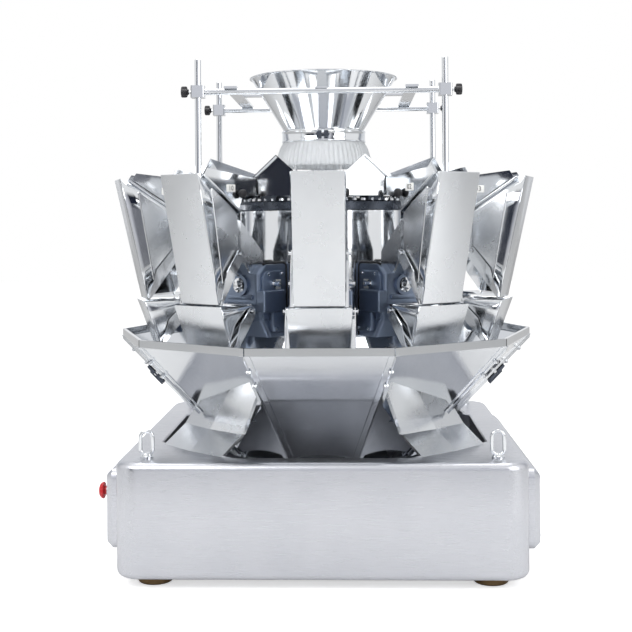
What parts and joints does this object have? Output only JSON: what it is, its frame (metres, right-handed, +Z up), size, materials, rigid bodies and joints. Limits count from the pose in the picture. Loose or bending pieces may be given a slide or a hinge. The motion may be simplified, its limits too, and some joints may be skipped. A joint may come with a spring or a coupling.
{
  "type": "multihead weigher",
  "caption": "Combination weigher: feeder pans round a cone drop product through feed and weigh hoppers with hinged gates into a ten-sided chute on a square base.",
  "frame": {"origin": "centre of the base's footprint, on the floor", "axes": "+Z up, -Y towards the operator's side, +X to the operator's right"},
  "size_m": [1.0994, 1.1, 1.248],
  "materials": {
    "polished_steel": "polished stainless sheet",
    "satin_steel": "satin stainless sheet",
    "dark_steel": "dark satin steel",
    "cast_aluminium": "fine cast aluminium",
    "foot_brass": "dull brass-coloured foot",
    "red_plastic": "glossy red",
    "black_plastic": "moulded black",
    "curtain_rubber": "translucent white food-grade sleeve"
  },
  "bodies": {
    "machine": {"base_shell": "satin_steel", "base_floor": "satin_steel", "base_well": "satin_steel", "base_feet": "foot_brass", "side_covers": "satin_steel", "eye_bolts": "polished_steel", "stop_button_collar": "satin_steel", "support_legs": "satin_steel", "lower_funnel": "satin_steel", "spout_tube": "satin_steel", "chute_panels_plain": "polished_steel", "chute_panels_corner": "polished_steel", "chute_panels_side": "polished_steel", "chute_seams": "polished_steel", "drum_body": "polished_steel", "drum_flange": "dark_steel", "drive_housings": "cast_aluminium", "drive_cranks": "satin_steel", "hopper_hangers": "satin_steel", "feed_hoppers": "satin_steel", "weigh_hoppers": "satin_steel", "feeder_mounts": "dark_steel", "feeder_pans": "polished_steel", "ridge_caps": "polished_steel", "dispersion_cone": "polished_steel", "post_arms": "polished_steel", "guide_posts": "polished_steel"},
    "infeed": {"post_clamps": "polished_steel", "clamp_knobs": "black_plastic", "infeed_frame": "polished_steel", "infeed_cone": "polished_steel", "product_curtain": "curtain_rubber", "neck_band": "polished_steel"},
    "button": {"stop_button": "red_plastic"},
    "feed_gate_body_01": {"feed_gate_01": "polished_steel"},
    "weigh_gate_body_01": {"weigh_gate_01": "polished_steel"},
    "feed_gate_body_02": {"feed_gate_02": "polished_steel"},
    "weigh_gate_body_02": {"weigh_gate_02": "polished_steel"},
    "feed_gate_body_03": {"feed_gate_03": "polished_steel"},
    "weigh_gate_body_03": {"weigh_gate_03": "polished_steel"},
    "feed_gate_body_04": {"feed_gate_04": "polished_steel"},
    "weigh_gate_body_04": {"weigh_gate_04": "polished_steel"},
    "feed_gate_body_05": {"feed_gate_05": "polished_steel"},
    "weigh_gate_body_05": {"weigh_gate_05": "polished_steel"},
    "feed_gate_body_06": {"feed_gate_06": "polished_steel"},
    "weigh_gate_body_06": {"weigh_gate_06": "polished_steel"},
    "feed_gate_body_07": {"feed_gate_07": "polished_steel"},
    "weigh_gate_body_07": {"weigh_gate_07": "polished_steel"},
    "feed_gate_body_08": {"feed_gate_08": "polished_steel"},
    "weigh_gate_body_08": {"weigh_gate_08": "polished_steel"},
    "feed_gate_body_09": {"feed_gate_09": "polished_steel"},
    "weigh_gate_body_09": {"weigh_gate_09": "polished_steel"},
    "feed_gate_body_10": {"feed_gate_10": "polished_steel"},
    "weigh_gate_body_10": {"weigh_gate_10": "polished_steel"}
  },
  "joints": [
    {"name": "stop_button_press", "type": "slide", "parent": "machine", "child": "button", "axis": [1, 0, 0], "range_m": [0, 0.005], "stiffness_N_per_m": 2000, "springref_m": -0.003},
    {"name": "infeed_height", "type": "slide", "parent": "machine", "child": "infeed", "axis": [0, 0, 1], "range_m": [-0.01, 0.05]},
    {"name": "feed_gate_hinge_01", "type": "hinge", "parent": "machine", "child": "feed_gate_body_01", "pos_m": [0, -0.4115, 0.7665], "axis": [1, 0, 0], "range_deg": [0, 35]},
    {"name": "weigh_gate_hinge_01", "type": "hinge", "parent": "machine", "child": "weigh_gate_body_01", "pos_m": [0, -0.3875, 0.6295], "axis": [1, 0, 0], "range_deg": [0, 35]},
    {"name": "feed_gate_hinge_02", "type": "hinge", "parent": "machine", "child": "feed_gate_body_02", "pos_m": [0.24187, -0.33291, 0.7665], "axis": [0.809, 0.5878, 0], "range_deg": [0, 35]},
    {"name": "weigh_gate_hinge_02", "type": "hinge", "parent": "machine", "child": "weigh_gate_body_02", "pos_m": [0.22777, -0.31349, 0.6295], "axis": [0.809, 0.5878, 0], "range_deg": [0, 35]},
    {"name": "feed_gate_hinge_03", "type": "hinge", "parent": "machine", "child": "feed_gate_body_03", "pos_m": [0.39136, -0.12716, 0.7665], "axis": [0.309, 0.9511, 0], "range_deg": [0, 35]},
    {"name": "weigh_gate_hinge_03", "type": "hinge", "parent": "machine", "child": "weigh_gate_body_03", "pos_m": [0.36853, -0.11974, 0.6295], "axis": [0.309, 0.9511, 0], "range_deg": [0, 35]},
    {"name": "feed_gate_hinge_04", "type": "hinge", "parent": "machine", "child": "feed_gate_body_04", "pos_m": [0.39136, 0.12716, 0.7665], "axis": [-0.309, 0.9511, 0], "range_deg": [0, 35]},
    {"name": "weigh_gate_hinge_04", "type": "hinge", "parent": "machine", "child": "weigh_gate_body_04", "pos_m": [0.36853, 0.11974, 0.6295], "axis": [-0.309, 0.9511, 0], "range_deg": [0, 35]},
    {"name": "feed_gate_hinge_05", "type": "hinge", "parent": "machine", "child": "feed_gate_body_05", "pos_m": [0.24187, 0.33291, 0.7665], "axis": [-0.809, 0.5878, 0], "range_deg": [0, 35]},
    {"name": "weigh_gate_hinge_05", "type": "hinge", "parent": "machine", "child": "weigh_gate_body_05", "pos_m": [0.22777, 0.31349, 0.6295], "axis": [-0.809, 0.5878, 0], "range_deg": [0, 35]},
    {"name": "feed_gate_hinge_06", "type": "hinge", "parent": "machine", "child": "feed_gate_body_06", "pos_m": [0, 0.4115, 0.7665], "axis": [-1, 0, 0], "range_deg": [0, 35]},
    {"name": "weigh_gate_hinge_06", "type": "hinge", "parent": "machine", "child": "weigh_gate_body_06", "pos_m": [0, 0.3875, 0.6295], "axis": [-1, 0, 0], "range_deg": [0, 35]},
    {"name": "feed_gate_hinge_07", "type": "hinge", "parent": "machine", "child": "feed_gate_body_07", "pos_m": [-0.24187, 0.33291, 0.7665], "axis": [-0.809, -0.5878, 0], "range_deg": [0, 35]},
    {"name": "weigh_gate_hinge_07", "type": "hinge", "parent": "machine", "child": "weigh_gate_body_07", "pos_m": [-0.22777, 0.31349, 0.6295], "axis": [-0.809, -0.5878, 0], "range_deg": [0, 35]},
    {"name": "feed_gate_hinge_08", "type": "hinge", "parent": "machine", "child": "feed_gate_body_08", "pos_m": [-0.39136, 0.12716, 0.7665], "axis": [-0.309, -0.9511, 0], "range_deg": [0, 35]},
    {"name": "weigh_gate_hinge_08", "type": "hinge", "parent": "machine", "child": "weigh_gate_body_08", "pos_m": [-0.36853, 0.11974, 0.6295], "axis": [-0.309, -0.9511, 0], "range_deg": [0, 35]},
    {"name": "feed_gate_hinge_09", "type": "hinge", "parent": "machine", "child": "feed_gate_body_09", "pos_m": [-0.39136, -0.12716, 0.7665], "axis": [0.309, -0.9511, 0], "range_deg": [0, 35]},
    {"name": "weigh_gate_hinge_09", "type": "hinge", "parent": "machine", "child": "weigh_gate_body_09", "pos_m": [-0.36853, -0.11974, 0.6295], "axis": [0.309, -0.9511, 0], "range_deg": [0, 35]},
    {"name": "feed_gate_hinge_10", "type": "hinge", "parent": "machine", "child": "feed_gate_body_10", "pos_m": [-0.24187, -0.33291, 0.7665], "axis": [0.809, -0.5878, 0], "range_deg": [0, 35]},
    {"name": "weigh_gate_hinge_10", "type": "hinge", "parent": "machine", "child": "weigh_gate_body_10", "pos_m": [-0.22777, -0.31349, 0.6295], "axis": [0.809, -0.5878, 0], "range_deg": [0, 35]}
  ]
}
